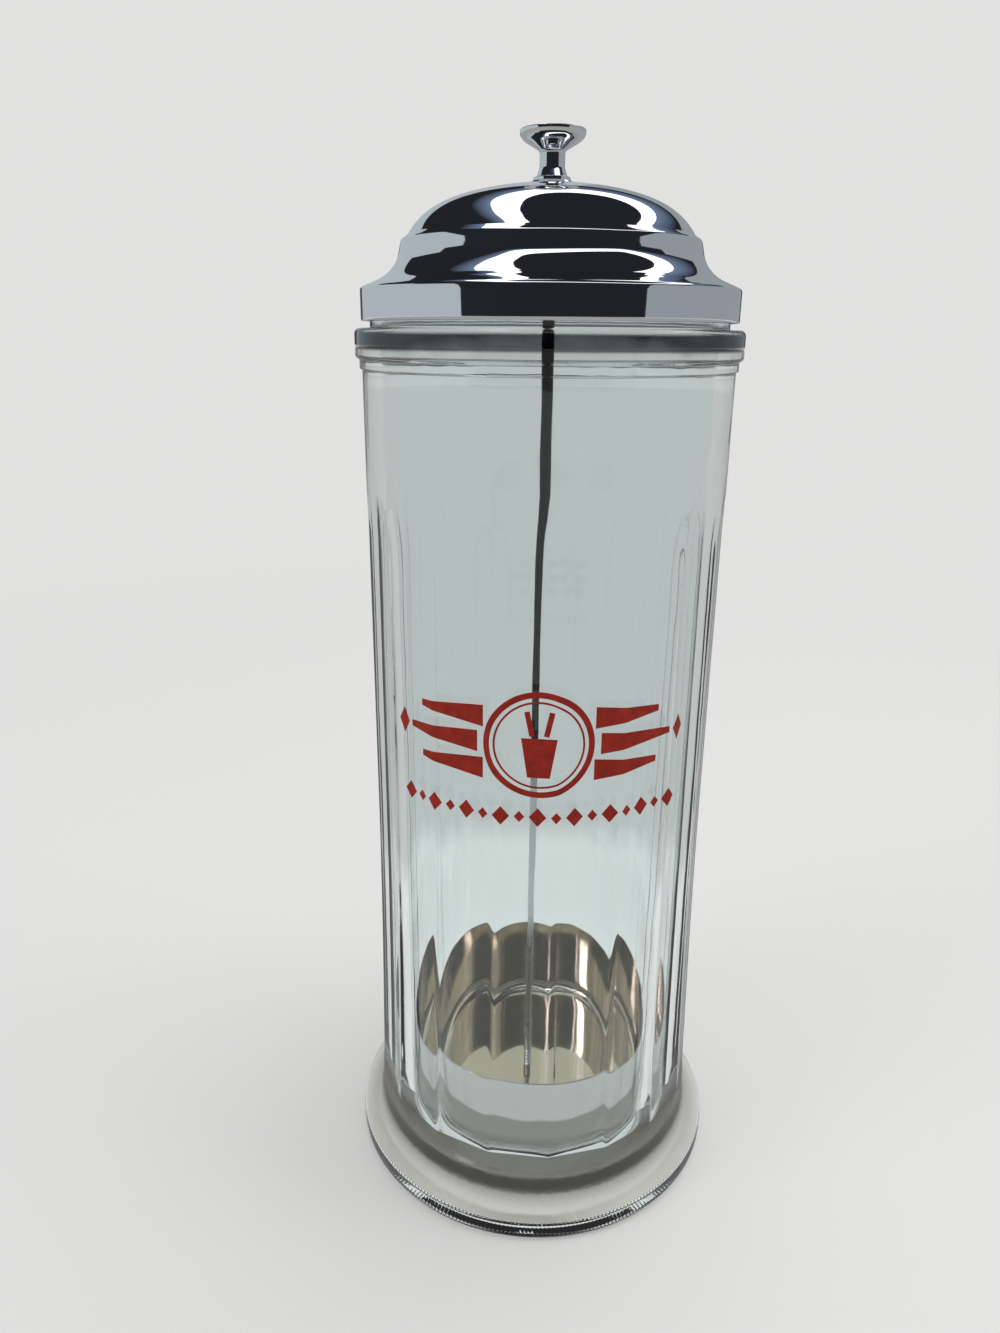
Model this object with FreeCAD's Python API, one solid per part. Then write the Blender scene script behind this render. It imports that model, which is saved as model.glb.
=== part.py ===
import FreeCAD, Part
import math
import os

# Glass straw jar with a pull-up lid. Straws stand in a thin steel cup inside the jar. A rod
# joins the cup to the knob on the lid, so that lifting the knob raises the straws out of the
# mouth. Millimetres, +Z up, origin at the centre of the foot on the table, front towards -Y.

Vector = FreeCAD.Vector
CENTRE = Vector(0, 0, 0)
UP = Vector(0, 0, 1)

# ---- Driving dimensions (mm) -------------------------------------------------------------

# Pressed glass jar
mouth_height = 243.4            # table to the lip of the mouth
body_radius = 45.8              # axis to the ridges between the panels
wall_taper = 1.5                # the wall widens by this much down to the foot
taper_height = 85.0             # table to where it starts to widen
taper_round = 3000.0
wall_thickness = 4.8            # ridge to bore
push_up_depth = 3.4             # hollow under the base
base_thickness = 5.5            # glass above the push-up
bore_corner_radius = 7.0        # where the bore meets the base
lip_radius = 1.1                # rounding of the mouth
panel_count = 18                # flat panels round the body
ridge_width = 0.8               # land left between two panels
panel_runout = 9.0              # radius with which a panel fades out at its ends
plain_band = 36.0               # smooth wall between the panels and the collar
foot_overhang = 7.6             # foot beyond the body
foot_edge_height = 5.8          # table to the top of the foot's edge
foot_edge_radius = 0.9
foot_heel_radius = 2.2          # foot's edge to the face it stands on
foot_rise = 3.6                 # slope of the foot's top up to the body
foot_cove_radius = 10.0         # hollow where the foot flares out of the body
panel_start = 13.4              # foot's slope to the lower end of the panels
bearing_width = 5.6             # ring that the jar stands on
push_up_slope = 7.0             # width of the slope inside the bearing ring
push_up_radius = 6.0
small_round = 0.4               # moulded inner and outer corners

# Rim of the jar
neck_height = 7.6               # ring to lip, under the lid
neck_wall = 2.6
ring_height = 7.2
ring_overhang = 1.6             # ring beyond the body
ring_round = 1.4
collar_height = 2.2             # narrow step under the ring
collar_overhang = 0.6

# Lid shell
lid_wall = 1.5
lid_clearance = 0.6             # skirt to neck, all round
lid_seat_gap = 0.3              # lip to the land that bears on it
lid_hang_gap = 1.5              # ring to the lower edge of the skirt
seat_width = 4.2                # land inside the lid that rests on the lip
shoulder_lift = 1.05            # land to the skirt's upper corner
shoulder_round = 0.9
skirt_edge_round = 0.3
shoulder_run = 3.5              # sloping shoulder, skirt to cove
shoulder_rise = 1.45
cove_run = 5.8                  # cove, shoulder to tier wall
cove_rise = 6.1
cove_foot_lean = 68.0           # degrees; how far the surface there leans back
cove_top_lean = 12.0
cove_foot_pull = 0.38           # of the cove's chord
cove_top_pull = 0.31
land_rise = 2.0                 # land to the cove's inner side
land_lean = 57.0                # degrees; the cove's inner side where it leaves the land
tier_height = 3.1               # tier wall above the cove
tier_round = 0.8
ledge_run = 1.6                 # ledge between the tier wall and the dome
ledge_rise = 1.05
dome_rise = 11.6                # ledge to the edge of the knob's seat
dome_foot_lean = 30.0           # degrees
dome_top_lean = 81.8
dome_foot_pull = 0.315          # of the dome's chord
dome_top_pull = 0.42
knob_seat_radius = 5.0          # flat step on the crown that carries the knob
knob_seat_edge = 0.6
knob_seat_rise = 0.45
boss_radius = 6.5               # pad under the crown that the washer bears on
boss_depth = 1.4

# Knob
knob_height = 11.5
knob_top_radius = 7.7
knob_rim_height = 0.4
knob_rim_round = 0.3
knob_crown = 0.6                # rise of the knob's top
bowl_foot_radius = 4.6          # where the bowl under the top starts to turn upright
bowl_foot_height = 7.35
bowl_overhang = 59.0            # degrees off upright, there
bowl_pull = 0.4                 # of the bowl's chord
knob_neck_radius = 3.0
knob_neck_round = 0.9           # neck to bowl
knob_foot_radius = 3.7
knob_foot_height = 2.0          # flare from the flange up to the neck
knob_foot_round = 2.0
knob_flange_radius = 4.4
knob_flange_height = 0.9
knob_flange_round = 0.15
knob_hole_depth = 6.0

# Rod, nuts and washers
rod_radius = 1.5
thread_radius = 1.85
thread_clearance = 0.05
rod_tip_gap = 1.0               # jar's base to the rod's lower end
rod_tip_proud = 0.3             # rod beyond the lower nut
rod_top_gap = 0.5               # rod's upper end to the end of the knob's hole
rod_chamfer = 0.35
lower_thread_show = 6.0        # thread above the cup's floor
upper_thread_show = 4.0         # thread below the upper nut
nut_across_flats = 7.0
nut_chamfer_angle = 30.0        # degrees
cup_nut_height = 3.2
lid_nut_height = 3.2
washer_radius = 4.8
cup_washer_thickness = 0.5
lid_washer_thickness = 0.8

# Straw cup
cup_clearance = 3.0             # cup to bore, all round
cup_wall = 0.5
cup_height = 27.4
cup_corner_radius = 4.0

# ---- Sizes worked out from them ----------------------------------------------------------

bore_radius = body_radius - wall_thickness
neck_radius = bore_radius + neck_wall
ring_radius = body_radius + ring_overhang
collar_radius = body_radius + collar_overhang
foot_radius = body_radius + foot_overhang
wall_foot_radius = body_radius + wall_taper
bearing_inner = foot_radius - foot_heel_radius - bearing_width
base_top = push_up_depth + base_thickness
ring_top = mouth_height - neck_height
ring_bottom = ring_top - ring_height
collar_bottom = ring_bottom - collar_height
flare_top = foot_edge_height + foot_rise
panel_bottom = flare_top + panel_start
panel_top = collar_bottom - plain_band
panel_foot_radius = body_radius + wall_taper * (taper_height - panel_bottom) / (taper_height - flare_top)

skirt_inner = neck_radius + lid_clearance
skirt_outer = skirt_inner + lid_wall
skirt_bottom = ring_top + lid_hang_gap
seat_bottom = mouth_height + lid_seat_gap
seat_inner = skirt_inner - seat_width
shoulder_height = seat_bottom + shoulder_lift
cove_foot_radius = skirt_outer - shoulder_run
cove_foot_height = shoulder_height + shoulder_rise
cove_top_radius = cove_foot_radius - cove_run
cove_top_height = cove_foot_height + cove_rise
tier_top_radius = cove_top_radius - tier_height * math.tan(math.radians(cove_top_lean))
tier_top_height = cove_top_height + tier_height
dome_foot_radius = tier_top_radius - ledge_run
dome_foot_height = tier_top_height + ledge_rise
dome_edge_radius = knob_seat_radius + knob_seat_edge
dome_edge_height = dome_foot_height + dome_rise
dome_top = dome_edge_height + knob_seat_rise
boss_bottom = dome_top - lid_wall - boss_depth

hole_radius = thread_radius + thread_clearance
rod_bottom = base_top + rod_tip_gap
rod_top = dome_top + knob_hole_depth - rod_top_gap
lid_washer_bottom = boss_bottom - lid_washer_thickness
lid_nut_bottom = lid_washer_bottom - lid_nut_height
cup_nut_bottom = rod_bottom + rod_tip_proud
cup_washer_bottom = cup_nut_bottom + cup_nut_height
cup_bottom = cup_washer_bottom + cup_washer_thickness
cup_floor = cup_bottom + cup_wall
cup_radius = bore_radius - cup_clearance


# ---- Helpers -----------------------------------------------------------------------------

def rounded_edges(corners):
    """Edges through (r, z, rounding) corners, each rounded as far as its two runs allow."""
    points = [Vector(r, 0, z) for r, z, rounding in corners]
    edges = []
    start = points[0]
    for i in range(1, len(points) - 1):
        here = points[i]
        back = points[i - 1] - here
        ahead = points[i + 1] - here
        half_opening = back.getAngle(ahead) / 2
        setback = corners[i][2] / math.tan(half_opening)
        setback = min(setback, 0.48 * back.Length, 0.48 * ahead.Length)
        back.normalize()
        ahead.normalize()
        if setback > 0.01:
            first = here + back * setback
            last = here + ahead * setback
            rounding = setback * math.tan(half_opening)
            bisector = back + ahead
            bisector.normalize()
            middle = here + bisector * (rounding / math.sin(half_opening) - rounding)
            edges.append(Part.makeLine(start, first))
            edges.append(Part.Arc(first, middle, last).toShape())
            start = last
        else:
            edges.append(Part.makeLine(start, here))
            start = here
    edges.append(Part.makeLine(start, points[-1]))
    return edges


def turned(edges):
    """Solid of revolution about Z from edges whose two ends lie on the axis."""
    first = edges[0].Vertexes[0].Point
    last = edges[-1].Vertexes[-1].Point
    outline = Part.Wire(edges + [Part.makeLine(last, first)])
    return Part.Face(outline).revolve(CENTRE, UP, 360)


def along(lean):
    """Unit step inwards and upwards on a surface that leans back by that angle."""
    angle = math.radians(lean)
    return Vector(-math.sin(angle), 0, math.cos(angle))


def flowing(start, start_lean, start_pull, end, end_lean, end_pull):
    """Smooth curve between two places, its lean given at both, its pulls as shares of the chord."""
    chord = (end - start).Length
    curve = Part.BezierCurve()
    curve.setPoles([
        start,
        start + along(start_lean) * (start_pull * chord),
        end - along(end_lean) * (end_pull * chord),
        end,
    ])
    return curve.toShape()


def inner_side(point, depth, lean, next_lean):
    """Place on the inner side of a wall, mitred where the outer side changes its lean."""
    middle = math.radians((lean + next_lean) / 2)
    mitre = depth / math.cos(math.radians(lean - next_lean) / 2)
    return point - Vector(math.cos(middle), 0, math.sin(middle)) * mitre


def cylinder(radius, bottom, top):
    return Part.makeCylinder(radius, top - bottom, Vector(0, 0, bottom), UP)


def drilled(shape, bottom, top):
    """The shape with the rod's clearance hole along Z, through both heights given."""
    return shape.cut(cylinder(hole_radius, bottom, top))


def washer(bottom, thickness):
    plate = cylinder(washer_radius, bottom, bottom + thickness)
    return drilled(plate, bottom - 1, bottom + thickness + 1)


def hex_nut(bottom, height):
    """Hexagon nut, the corners of both faces turned off as a cone."""
    flat = nut_across_flats / 2
    corner = flat / math.cos(math.pi / 6)
    ring = [k * math.pi / 3 for k in range(7)]
    points = [Vector(corner * math.cos(a), corner * math.sin(a), bottom) for a in ring]
    prism = Part.Face(Part.makePolygon(points)).extrude(Vector(0, 0, height))
    reach = 2 * (corner - flat)
    drop = reach * math.tan(math.radians(nut_chamfer_angle))
    cones = turned(rounded_edges([
        (0, bottom, 0),
        (flat, bottom, 0),
        (flat + reach, bottom + drop, 0),
        (flat + reach, bottom + height - drop, 0),
        (flat, bottom + height, 0),
        (0, bottom + height, 0),
    ]))
    return drilled(prism.common(cones), bottom - 1, bottom + height + 1)


def save(node, shape):
    solid = shape.removeSplitter().Solids[0]
    solid.exportStep("parts/" + node + ".step")
    print(node, "valid", solid.isValid(), "volume", round(solid.Volume, 1))


# ---- Glass jar ---------------------------------------------------------------------------

def panel_cutter():
    """Block outside one flat panel, its inner face curving outwards past both ends."""
    half_angle = math.pi / panel_count - ridge_width / 2 / body_radius
    clear = 1.0

    def runout(wall, end, way):
        face = wall * math.cos(half_angle)
        sweep = math.acos(1 - (wall + clear - face) / panel_runout)
        points = []
        for angle in (0, sweep / 2, sweep):
            out = face + panel_runout * (1 - math.cos(angle))
            points.append(Vector(out, 0, end + way * panel_runout * math.sin(angle)))
        return points

    low = runout(panel_foot_radius, panel_bottom, -1)
    high = runout(body_radius, panel_top, 1)
    face = rounded_edges([
        (low[0].x, panel_bottom, 0),
        (body_radius * math.cos(half_angle), taper_height, taper_round),
        (high[0].x, panel_top, 0),
    ])
    outline = Part.Wire(face + [
        Part.Arc(high[0], high[1], high[2]).toShape(),
        Part.makeLine(high[2], low[2]),
        Part.Arc(low[2], low[1], low[0]).toShape(),
    ])
    half_width = (panel_foot_radius + clear) * math.tan(math.pi / panel_count)
    block = Part.Face(outline).extrude(Vector(0, 2 * half_width, 0))
    block.translate(Vector(0, -half_width, 0))
    return block


def glass_jar():
    """Pressed jar: turned inside and out, with a foot, flat panels, a ring and a neck."""
    blank = turned(rounded_edges([
        (0, push_up_depth, 0),
        (bearing_inner - push_up_slope, push_up_depth, push_up_radius),
        (bearing_inner, 0, small_round),
        (foot_radius, 0, foot_heel_radius),
        (foot_radius, foot_edge_height, foot_edge_radius),
        (wall_foot_radius, flare_top, foot_cove_radius),
        (body_radius, taper_height, taper_round),
        (body_radius, collar_bottom, small_round),
        (collar_radius, collar_bottom, small_round),
        (collar_radius, ring_bottom, small_round),
        (ring_radius, ring_bottom, ring_round),
        (ring_radius, ring_top, ring_round),
        (neck_radius, ring_top, small_round),
        (neck_radius, mouth_height, lip_radius),
        (bore_radius, mouth_height, lip_radius),
        (bore_radius, base_top, bore_corner_radius),
        (0, base_top, 0),
    ]))
    cutters = []
    for k in range(panel_count):
        cutter = panel_cutter()
        cutter.rotate(CENTRE, UP, k * 360.0 / panel_count)
        cutters.append(cutter)
    return blank.cut(cutters)


# ---- Lid shell ---------------------------------------------------------------------------

def crown(cove_foot, cove_lean, cove_top, tier_top, dome_foot, dome_edge, rounding):
    """Edges of one side of the shell, from the shoulder over the cove, tier wall and dome."""
    tier = [(cove_top.x, cove_top.z, 0), (tier_top.x, tier_top.z, rounding), (dome_foot.x, dome_foot.z, 0)]
    cove = flowing(cove_foot, cove_lean, cove_foot_pull, cove_top, cove_top_lean, cove_top_pull)
    dome = flowing(dome_foot, dome_foot_lean, dome_foot_pull, dome_edge, dome_top_lean, dome_top_pull)
    return [cove] + rounded_edges(tier) + [dome]


def lid_dome():
    """Shell with a skirt, a sloping shoulder, a coved tier and a dome, and a land inside."""
    cove_foot = Vector(cove_foot_radius, 0, cove_foot_height)
    cove_top = Vector(cove_top_radius, 0, cove_top_height)
    tier_top = Vector(tier_top_radius, 0, tier_top_height)
    dome_foot = Vector(dome_foot_radius, 0, dome_foot_height)
    dome_edge = Vector(dome_edge_radius, 0, dome_edge_height)
    skirt = rounded_edges([
        (0, skirt_bottom, 0),
        (skirt_outer, skirt_bottom, skirt_edge_round),
        (skirt_outer, shoulder_height, shoulder_round),
        (cove_foot_radius, cove_foot_height, 0),
    ])
    knob_seat = rounded_edges([
        (dome_edge_radius, dome_edge_height, 0),
        (knob_seat_radius, dome_top, 0),
        (0, dome_top, 0),
    ])
    tier = crown(cove_foot, cove_foot_lean, cove_top, tier_top, dome_foot, dome_edge, tier_round)
    shell = turned(skirt + tier + knob_seat)

    ledge_lean = math.degrees(math.atan2(ledge_run, ledge_rise))
    land_edge = Vector(seat_inner, 0, seat_bottom + land_rise)
    inner_edge = inner_side(dome_edge, lid_wall, dome_top_lean, dome_top_lean)
    land = rounded_edges([
        (0, skirt_bottom - 1, 0),
        (skirt_inner, skirt_bottom - 1, 0),
        (skirt_inner, seat_bottom, small_round),
        (seat_inner, seat_bottom, small_round),
        (seat_inner, land_edge.z, 0),
    ])
    hollow = crown(
        land_edge, land_lean,
        inner_side(cove_top, lid_wall, cove_top_lean, cove_top_lean),
        inner_side(tier_top, lid_wall, cove_top_lean, ledge_lean),
        inner_side(dome_foot, lid_wall, ledge_lean, dome_foot_lean),
        inner_edge, 0,
    )
    ceiling = Part.makeLine(inner_edge, Vector(0, 0, inner_edge.z))
    shell = shell.cut(turned(land + hollow + [ceiling]))
    shell = shell.fuse(cylinder(boss_radius, boss_bottom, dome_top - lid_wall / 2))
    return drilled(shell, boss_bottom - 1, dome_top + 1)


# ---- Knob --------------------------------------------------------------------------------

def lid_knob():
    """Turned knob: a small flange, a slim neck and a bowl that opens to a domed top."""
    rim_z = dome_top + knob_height - knob_crown - knob_rim_height
    top_z = dome_top + knob_height
    flange_z = dome_top + knob_flange_height
    bowl_foot = Vector(bowl_foot_radius, 0, dome_top + bowl_foot_height)
    bowl_end = Vector(knob_top_radius, 0, rim_z)
    overhang = math.tan(math.radians(bowl_overhang))
    neck_top = bowl_foot.z - (bowl_foot_radius - knob_neck_radius) / overhang
    stem = rounded_edges([
        (0, dome_top, 0),
        (knob_flange_radius, dome_top, knob_flange_round),
        (knob_flange_radius, flange_z, knob_flange_round),
        (knob_foot_radius, flange_z, 0),
        (knob_neck_radius, flange_z + knob_foot_height, knob_foot_round),
        (knob_neck_radius, neck_top, knob_neck_round),
        (bowl_foot.x, bowl_foot.z, 0),
    ])
    bowl = flowing(bowl_foot, -bowl_overhang, bowl_pull, bowl_end, 0, bowl_pull)
    rim = rounded_edges([
        (knob_top_radius, rim_z, 0),
        (knob_top_radius, rim_z + knob_rim_height, knob_rim_round),
        (knob_top_radius - 2 * knob_rim_round, rim_z + knob_rim_height, 0),
    ])
    edge = rim[-1].Vertexes[-1].Point
    slope = 2 * math.atan2(knob_crown, edge.x)
    crown_radius = edge.x / math.sin(slope)
    half_drop = crown_radius * (1 - math.cos(slope / 2))
    middle = Vector(crown_radius * math.sin(slope / 2), 0, top_z - half_drop)
    top = Part.Arc(edge, middle, Vector(0, 0, top_z)).toShape()
    knob = turned(stem + [bowl] + rim + [top])
    return drilled(knob, dome_top - 1, dome_top + knob_hole_depth)


# ---- Rod ---------------------------------------------------------------------------------

def lift_rod():
    """Plain rod between two threaded ends, which stand proud of it as rolled threads do."""
    step = thread_radius - rod_radius
    lower_end = cup_floor + lower_thread_show
    upper_end = lid_nut_bottom - upper_thread_show
    return turned(rounded_edges([
        (0, rod_bottom, 0),
        (thread_radius - rod_chamfer, rod_bottom, 0),
        (thread_radius, rod_bottom + rod_chamfer, 0),
        (thread_radius, lower_end - step, 0),
        (rod_radius, lower_end, 0),
        (rod_radius, upper_end, 0),
        (thread_radius, upper_end + step, 0),
        (thread_radius, rod_top - rod_chamfer, 0),
        (thread_radius - rod_chamfer, rod_top, 0),
        (0, rod_top, 0),
    ]))


# ---- Straw cup ---------------------------------------------------------------------------

def straw_cup():
    """Drawn cup of thin sheet with a rounded bottom corner and a hole for the rod."""
    rim = cup_bottom + cup_height
    outside = turned(rounded_edges([
        (0, cup_bottom, 0),
        (cup_radius, cup_bottom, cup_corner_radius),
        (cup_radius, rim, 0),
        (0, rim, 0),
    ]))
    inside = turned(rounded_edges([
        (0, cup_floor, 0),
        (cup_radius - cup_wall, cup_floor, cup_corner_radius - cup_wall),
        (cup_radius - cup_wall, rim + 1, 0),
        (0, rim + 1, 0),
    ]))
    return drilled(outside.cut(inside), cup_bottom - 1, cup_floor + 1)


# ---- Build -------------------------------------------------------------------------------

os.makedirs("parts", exist_ok=True)
save("glass_jar", glass_jar())
save("lid_dome", lid_dome())
save("lid_knob", lid_knob())
save("lid_washer", washer(lid_washer_bottom, lid_washer_thickness))
save("lid_lock_nut", hex_nut(lid_nut_bottom, lid_nut_height))
save("lift_rod", lift_rod())
save("straw_cup", straw_cup())
save("cup_washer", washer(cup_washer_bottom, cup_washer_thickness))
save("cup_lock_nut", hex_nut(cup_nut_bottom, cup_nut_height))
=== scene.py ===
import math

import bpy
import numpy as np
from mathutils import Matrix, Vector


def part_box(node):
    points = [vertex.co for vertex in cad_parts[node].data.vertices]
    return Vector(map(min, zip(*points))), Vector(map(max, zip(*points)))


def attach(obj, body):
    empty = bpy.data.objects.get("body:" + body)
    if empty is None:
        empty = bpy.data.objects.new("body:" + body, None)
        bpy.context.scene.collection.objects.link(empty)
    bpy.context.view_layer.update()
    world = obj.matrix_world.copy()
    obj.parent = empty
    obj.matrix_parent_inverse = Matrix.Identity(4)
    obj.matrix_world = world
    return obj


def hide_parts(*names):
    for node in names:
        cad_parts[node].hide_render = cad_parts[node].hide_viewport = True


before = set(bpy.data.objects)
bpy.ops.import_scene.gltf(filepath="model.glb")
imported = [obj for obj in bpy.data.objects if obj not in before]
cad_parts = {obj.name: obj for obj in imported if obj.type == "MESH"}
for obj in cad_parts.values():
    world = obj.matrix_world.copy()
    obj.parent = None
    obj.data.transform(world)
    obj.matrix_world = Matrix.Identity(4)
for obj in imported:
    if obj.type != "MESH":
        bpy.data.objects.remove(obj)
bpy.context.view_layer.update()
bpy.ops.object.select_all(action="DESELECT")


# ---- Studio ------------------------------------------------------------------------------
# A pale table, seen from as high as the ring under the lid, in a room of cards: black in
# front and overhead and grey at the sides and back, with a frame of soft light above. Table
# and air show as one pale tone, and the table keeps the shadow.

mm = 0.001
studio_turn = Matrix.Rotation(math.radians(-3.4), 4, "Z")
camera_place = Matrix.Translation((-11.3 * mm, -251.8 * mm, 234.9 * mm))
camera_dip = Matrix.Rotation(math.radians(90 - 19.06), 4, "X")
camera_roll = Matrix.Rotation(math.radians(0.45), 4, "Z")
long_side = 36.0
focal_in_pixels = 965.8
picture_height = 1333

bpy.ops.object.camera_add()
camera = bpy.context.object
camera.name = "studio_camera"
camera.matrix_world = studio_turn @ camera_place @ camera_dip @ camera_roll
camera.data.sensor_fit = "VERTICAL"
camera.data.sensor_height = long_side
camera.data.sensor_width = long_side
camera.data.lens = focal_in_pixels / picture_height * long_side
camera.data.clip_start = 10 * mm
bpy.context.scene.camera = camera
bpy.context.scene.view_settings.view_transform = "Standard"

pale = (0.76, 0.755, 0.75, 1.0)
white = (1.0, 1.0, 1.0, 1.0)
air_light = 0.55
air_through_glass = 0.92


def combined(tree, operation, first, second, clamp=False):
    """One number out of two, by a Math node."""
    node = tree.nodes.new("ShaderNodeMath")
    node.operation = operation
    node.use_clamp = clamp
    tree.links.new(first, node.inputs[0])
    tree.links.new(second, node.inputs[1])
    return node.outputs[0]


def ranged(tree, value, start, end, low=0.0, high=1.0, smooth=True):
    """A number that runs from low to high while the value runs from start to end."""
    node = tree.nodes.new("ShaderNodeMapRange")
    node.interpolation_type = "SMOOTHSTEP" if smooth else "LINEAR"
    node.inputs["From Min"].default_value = start
    node.inputs["From Max"].default_value = end
    node.inputs["To Min"].default_value = low
    node.inputs["To Max"].default_value = high
    tree.links.new(value, node.inputs["Value"])
    return node.outputs["Result"]


world = bpy.data.worlds.new("studio_air")
bpy.context.scene.world = world
world.use_nodes = True
tree = world.node_tree
seen = tree.nodes["Background"]
seen.inputs["Color"].default_value = pale
lit = tree.nodes.new("ShaderNodeBackground")
lit.inputs["Color"].default_value = white
lit.inputs["Strength"].default_value = air_light
path = tree.nodes.new("ShaderNodeLightPath")
through_glass = path.outputs["Is Transmission Ray"]
dimmed = ranged(tree, through_glass, 0.0, 1.0, 1.0, air_through_glass, smooth=False)
tree.links.new(dimmed, seen.inputs["Strength"])
mirrored = combined(tree, "MAXIMUM", path.outputs["Is Glossy Ray"], through_glass)
mix = tree.nodes.new("ShaderNodeMixShader")
by_eye = combined(tree, "MAXIMUM", path.outputs["Is Camera Ray"], mirrored)
tree.links.new(by_eye, mix.inputs["Fac"])
tree.links.new(lit.outputs[0], mix.inputs[1])
tree.links.new(seen.outputs[0], mix.inputs[2])
tree.links.new(mix.outputs[0], tree.nodes["World Output"].inputs["Surface"])

# Away from the jar the table turns into the tone of the air, so that no horizon shows. Its glow is
# painted light: through the glass it is painted lighter close by and greyer far away, and the front
# of the glass throws back only a part of it. Under the foot less glow shows, a painted shade that
# lets the jar's real shadow show darker there.
table_radius = 12.0
table_colour = (0.62, 0.615, 0.61, 1.0)
tone_starts, tone_ends = 0.12, 0.9
near_tone = 0.4
full_shade_to, no_shade_from = 0.044, 0.056
# Painted shade: how much of the table's glow is left under the foot.
painted_shade_under_foot = 0.5
near_ends, far_starts = 0.165, 0.195
# Painted light: the table's glow seen through the glass, close by and far away.
near_painted_glow, far_painted_glow = 1.18, 0.825
thrown_back_share = 0.45
bpy.ops.mesh.primitive_circle_add(vertices=128, radius=table_radius, fill_type="NGON")
table = bpy.context.object
table.name = "table"
table_top = bpy.data.materials.new("pale_table")
table_top.use_nodes = True
tree = table_top.node_tree
matt = tree.nodes["Principled BSDF"]
matt.inputs["Base Color"].default_value = table_colour
matt.inputs["Roughness"].default_value = 0.9
matt.inputs["Specular IOR Level"].default_value = 0.0
glow = tree.nodes.new("ShaderNodeEmission")
glow.inputs["Color"].default_value = pale
place = tree.nodes.new("ShaderNodeTexCoord")
from_jar = tree.nodes.new("ShaderNodeVectorMath")
from_jar.operation = "LENGTH"
tree.links.new(place.outputs["Object"], from_jar.inputs[0])
away = from_jar.outputs["Value"]
path = tree.nodes.new("ShaderNodeLightPath")
mirrored = path.outputs["Is Glossy Ray"]
through_glass = path.outputs["Is Transmission Ray"]
by_eye = combined(tree, "MAXIMUM", path.outputs["Is Camera Ray"], through_glass)
tone = ranged(tree, away, tone_starts, tone_ends, near_tone, 1.0)
shade = ranged(tree, away, full_shade_to, no_shade_from, painted_shade_under_foot, 1.0)
glowing = combined(tree, "MULTIPLY", by_eye, combined(tree, "MULTIPLY", tone, shade))
mix = tree.nodes.new("ShaderNodeMixShader")
tree.links.new(combined(tree, "MAXIMUM", glowing, mirrored), mix.inputs["Fac"])
tree.links.new(matt.outputs[0], mix.inputs[1])
tree.links.new(glow.outputs[0], mix.inputs[2])
depth = ranged(tree, away, near_ends, far_starts, near_painted_glow, far_painted_glow, smooth=False)
level = tree.nodes.new("ShaderNodeMix")
level.inputs["A"].default_value = 1.0
tree.links.new(through_glass, level.inputs["Factor"])
tree.links.new(depth, level.inputs["B"])
thrown_back = combined(tree, "SUBTRACT", mirrored, through_glass, clamp=True)
glow_in_mirrors = ranged(tree, thrown_back, 0.0, 1.0, 1.0, thrown_back_share, smooth=False)
strength = combined(tree, "MULTIPLY", level.outputs["Result"], glow_in_mirrors)
tree.links.new(strength, glow.inputs["Strength"])
tree.links.new(mix.outputs[0], tree.nodes["Material Output"].inputs["Surface"])
table.data.materials.append(table_top)

for name, place, size, power in (
    ("top_light", (0.3, 0.2, 1.5), 1.2, 14.0),
    ("left_light", (-1.4, -0.6, 0.9), 0.9, 9.0),
    ("right_light", (1.4, -0.3, 0.9), 0.9, 7.0),
):
    bpy.ops.object.light_add(type="AREA", location=place)
    lamp = bpy.context.object
    lamp.name = name
    lamp.data.shape = "DISK"
    lamp.data.size = size
    lamp.data.energy = power
    aim = lamp.matrix_world.translation * -1
    lamp.rotation_euler = aim.to_track_quat("-Z", "Y").to_euler()
    lamp.visible_glossy = False
    lamp.visible_camera = False
    lamp.visible_transmission = False


def mixed(tree, share, first, second):
    """A colour between two, by a Mix node."""
    node = tree.nodes.new("ShaderNodeMix")
    node.data_type = "RGBA"
    node.inputs["A"].default_value = (*first, 1.0)
    node.inputs["B"].default_value = (*second, 1.0)
    tree.links.new(share, node.inputs["Factor"])
    return node.outputs["Result"]


def studio_card(
    name, first_edge, second_edge, shade, fade_to=None, strength=1.0, in_mirrors=True, in_glass=True
):
    """A strip between two edges that only mirrors and glass see: a flag, a wall or a light."""
    bpy.ops.mesh.primitive_grid_add(x_subdivisions=len(first_edge) - 1, y_subdivisions=1)
    card = bpy.context.object
    card.name = name
    for vertex, corner in zip(card.data.vertices, first_edge + second_edge):
        vertex.co = studio_turn @ Vector(corner)
    paint = bpy.data.materials.new(name + "_paint")
    paint.use_nodes = True
    tree = paint.node_tree
    tree.nodes.remove(tree.nodes["Principled BSDF"])
    light = tree.nodes.new("ShaderNodeEmission")
    light.inputs["Color"].default_value = (*shade, 1.0)
    light.inputs["Strength"].default_value = strength
    tree.links.new(light.outputs[0], tree.nodes["Material Output"].inputs["Surface"])
    if fade_to:
        across = tree.nodes.new("ShaderNodeTexCoord")
        part = tree.nodes.new("ShaderNodeSeparateXYZ")
        tree.links.new(across.outputs["UV"], part.inputs[0])
        tree.links.new(mixed(tree, part.outputs["Y"], shade, fade_to), light.inputs["Color"])
    card.data.materials.append(paint)
    card.visible_camera = False
    card.visible_diffuse = False
    card.visible_glossy = in_mirrors
    card.visible_transmission = in_glass
    card.visible_shadow = False
    card.visible_volume_scatter = False


# Overhead places are (u, v) slopes from the lid: u to the right and v to the back, per metre up.
lid_height = 250 * mm


def overhead(slopes, rise):
    """Places on a level ceiling at that rise above the lid."""
    return [(u * rise, v * rise, lid_height + rise) for u, v in slopes]


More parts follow.
